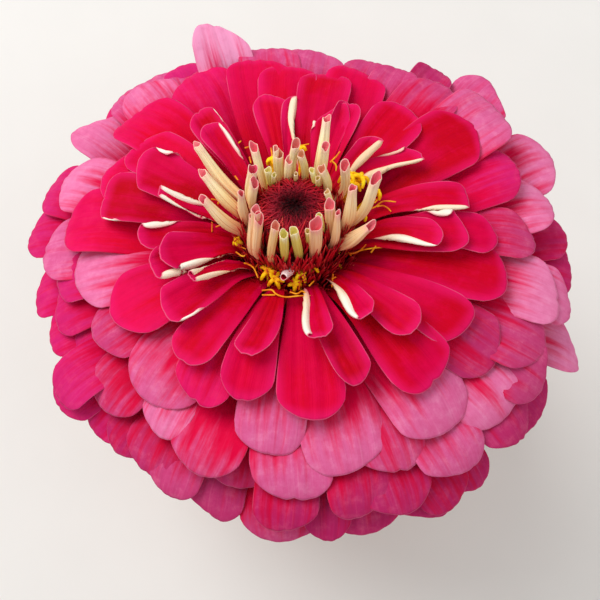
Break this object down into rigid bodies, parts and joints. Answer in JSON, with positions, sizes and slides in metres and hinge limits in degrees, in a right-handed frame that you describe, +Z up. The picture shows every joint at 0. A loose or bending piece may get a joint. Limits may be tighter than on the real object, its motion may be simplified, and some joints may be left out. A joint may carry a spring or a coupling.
{
  "type": "potted zinnia",
  "caption": "Double zinnia in full flower on one leafy stem, growing in soil in a plain clay pot.",
  "frame": {"origin": "centre of the pot's flat underside, on the surface the pot stands on", "axes": "+Z up along the pot's axis; the bloom leans back towards +Y, and its face is seen from -Y and above"},
  "size_m": [0.124, 0.1269, 0.2626],
  "materials": {
    "clay": "matte",
    "soil": "matte",
    "stem": "satin",
    "leaf": "satin",
    "bract": "satin",
    "ray": "satin",
    "cream": "satin",
    "yellow": "satin",
    "maroon": "matte"
  },
  "bodies": {
    "root": {"pot": "clay", "soil": "soil", "stem": "stem", "leaf_1_a": "leaf", "leaf_1_b": "leaf", "leaf_2_a": "leaf", "leaf_2_b": "leaf", "leaf_3_a": "leaf", "leaf_3_b": "leaf", "leaf_4_a": "leaf", "leaf_4_b": "leaf", "leaf_5_a": "leaf", "leaf_5_b": "leaf", "involucre": "bract", "ray_florets": "ray", "tube_florets": "cream", "disc_florets": "yellow", "disc": "maroon"}
  },
  "joints": []
}
